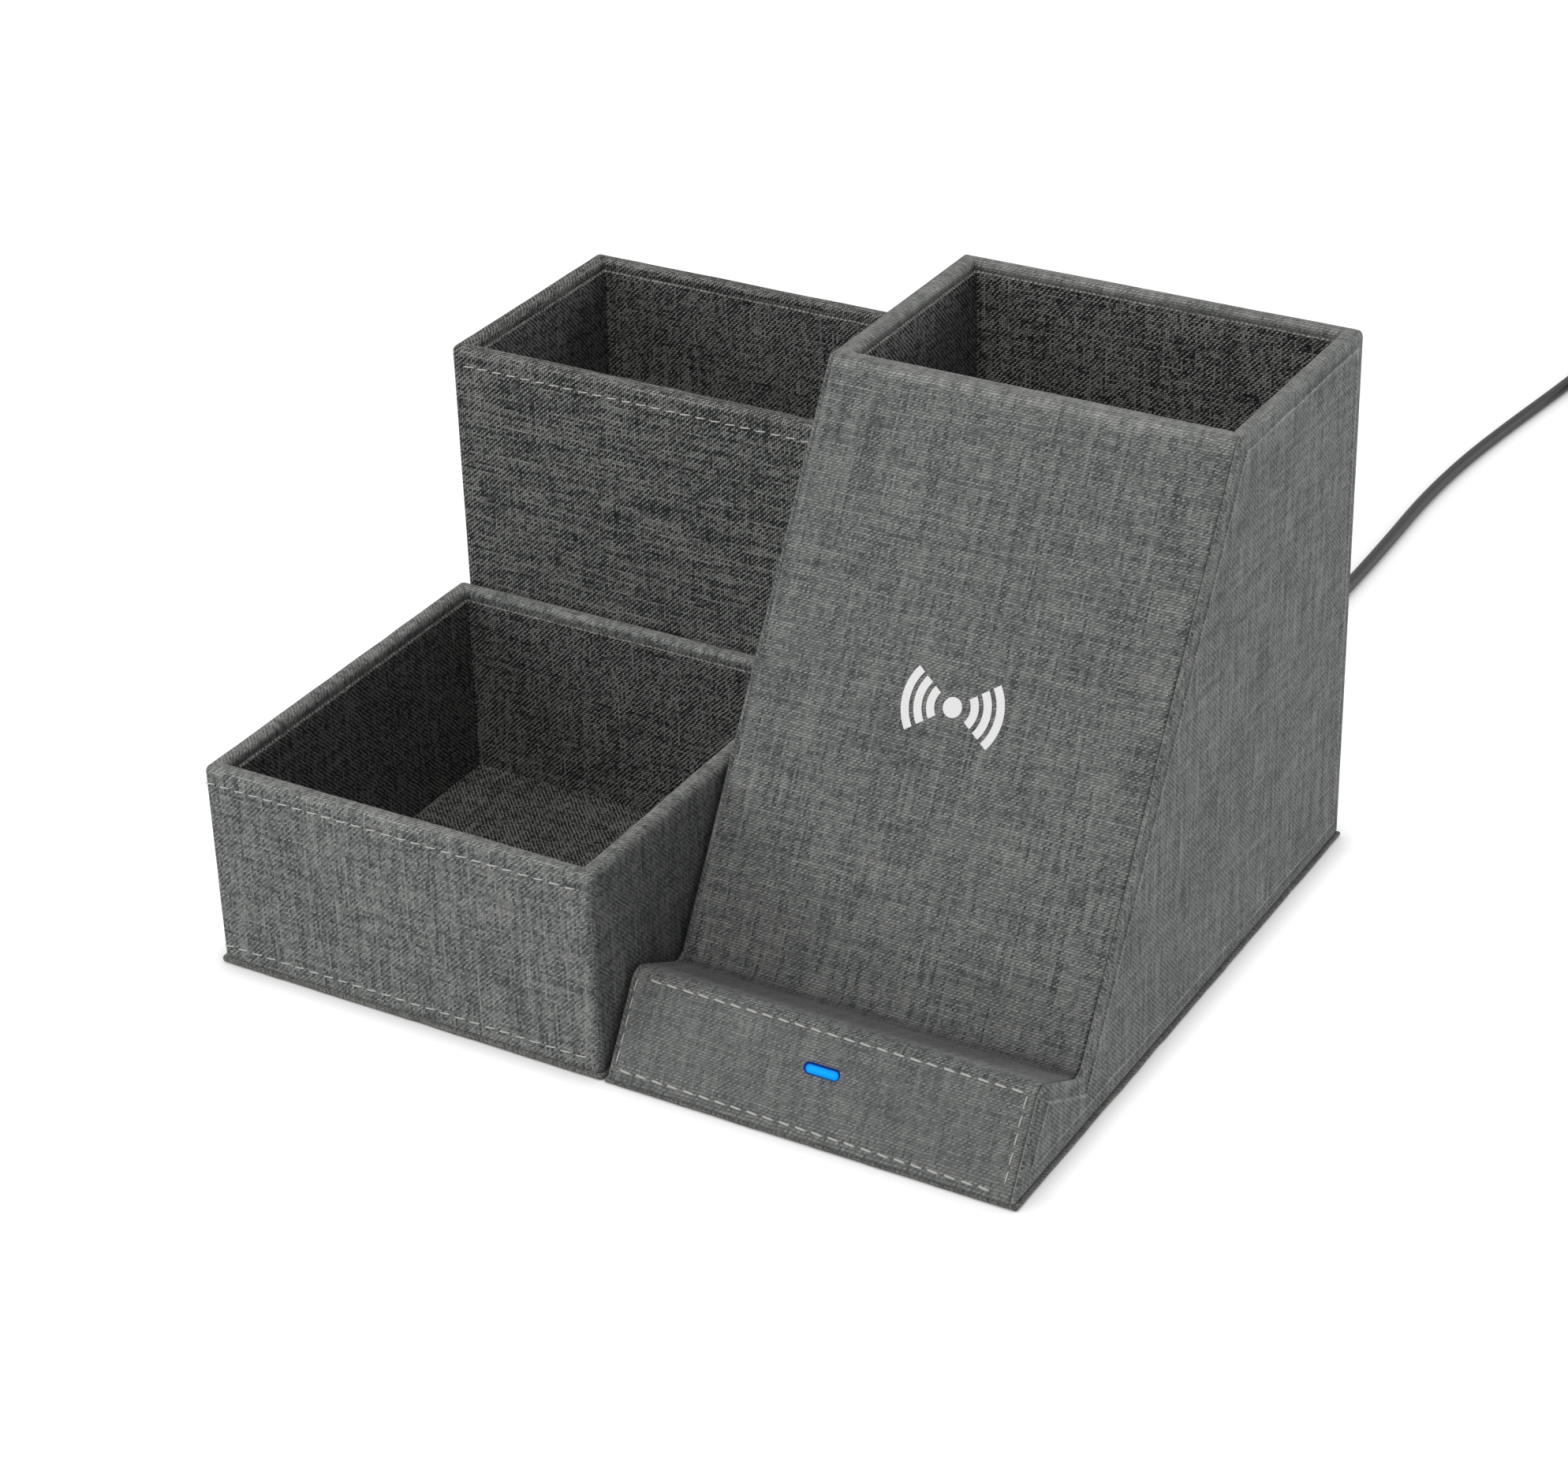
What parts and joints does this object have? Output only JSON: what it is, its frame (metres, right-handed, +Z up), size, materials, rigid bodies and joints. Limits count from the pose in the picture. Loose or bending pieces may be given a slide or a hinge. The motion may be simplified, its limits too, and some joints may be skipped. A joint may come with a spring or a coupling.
{
  "type": "charging station organizer",
  "caption": "Fabric-wrapped desk organizer with a leaning phone charging face, a pen well behind it, a low tray, a tall box and a plug-in cable.",
  "frame": {"origin": "on the table, at the middle of the footprint of the three modules, without the cable", "axes": "+Z up, -Y the front that the phone faces, +X to the right, where the stand is"},
  "size_m": [0.2222, 0.4851, 0.1324],
  "materials": {
    "cover_fabric": "grey melange plain weave, matt",
    "lining_fabric": "grey melange plain weave, matt, in shade",
    "base_fabric": "grey plain weave wrapped over thin board",
    "fibreboard": "plain fibreboard",
    "pad_rubber": "matt non-slip foam rubber",
    "magnet_nickel": "nickel-plated disc magnets",
    "coil_copper": "enamelled copper winding",
    "ferrite": "sintered ferrite sheet",
    "holder_plastic": "moulded black plastic",
    "screw_steel": "zinc-plated steel",
    "light_blue": "translucent lens lit blue",
    "circuit_green": "solder-masked circuit board",
    "plug_steel": "drawn stainless shell",
    "plug_plastic": "soft moulded grip",
    "cord_jacket": "satin flexible jacket"
  },
  "bodies": {
    "stand": {"stand_base_board": "base_fabric", "stand_pads": "pad_rubber", "stand_left_board": "fibreboard", "stand_right_board": "fibreboard", "stand_left_cover": "cover_fabric", "stand_right_cover": "cover_fabric", "stand_magnets": "magnet_nickel", "stand_face_cover": "cover_fabric", "lip_board": "fibreboard", "ledge_board": "fibreboard", "face_board": "fibreboard", "charging_coil": "coil_copper", "ferrite_plate": "ferrite", "coil_holder": "holder_plastic", "holder_screws": "screw_steel", "light_lens": "light_blue", "light_board": "circuit_green", "divider_board": "fibreboard", "stand_rear_board": "fibreboard", "stand_rear_cover": "cover_fabric", "floor_cleats": "fibreboard", "well_floor": "lining_fabric", "well_front_lining": "lining_fabric", "well_rear_lining": "lining_fabric", "well_side_linings": "lining_fabric", "board_posts": "holder_plastic", "circuit_board": "circuit_green", "usb_socket": "plug_steel"},
    "low_tray": {"tray_base_board": "base_fabric", "tray_pads": "pad_rubber", "tray_front_board": "fibreboard", "tray_rear_board": "fibreboard", "tray_left_board": "fibreboard", "tray_right_board": "fibreboard", "tray_cover": "cover_fabric", "tray_magnets": "magnet_nickel", "tray_floor": "lining_fabric", "tray_front_lining": "lining_fabric", "tray_rear_lining": "lining_fabric", "tray_side_linings": "lining_fabric"},
    "tall_box": {"box_base_board": "base_fabric", "box_pads": "pad_rubber", "box_front_board": "fibreboard", "box_rear_board": "fibreboard", "box_left_board": "fibreboard", "box_right_board": "fibreboard", "box_cover": "cover_fabric", "box_magnets": "magnet_nickel", "box_floor": "lining_fabric", "box_front_lining": "lining_fabric", "box_rear_lining": "lining_fabric", "box_side_linings": "lining_fabric"},
    "cable": {"plug_shell": "plug_steel", "plug_grip": "plug_plastic", "cord": "cord_jacket", "cord_coil": "cord_jacket", "adapter_grip": "plug_plastic", "adapter_shell": "plug_steel"}
  },
  "joints": [
    {"name": "tray_slide", "type": "slide", "parent": "stand", "child": "low_tray", "axis": [0, -1, 0], "range_m": [0, 0.12]},
    {"name": "box_slide", "type": "slide", "parent": "stand", "child": "tall_box", "axis": [-1, 0, 0], "range_m": [0, 0.12]},
    {"name": "plug_slide", "type": "slide", "parent": "stand", "child": "cable", "axis": [0, 1, 0], "range_m": [0, 0.02]}
  ]
}
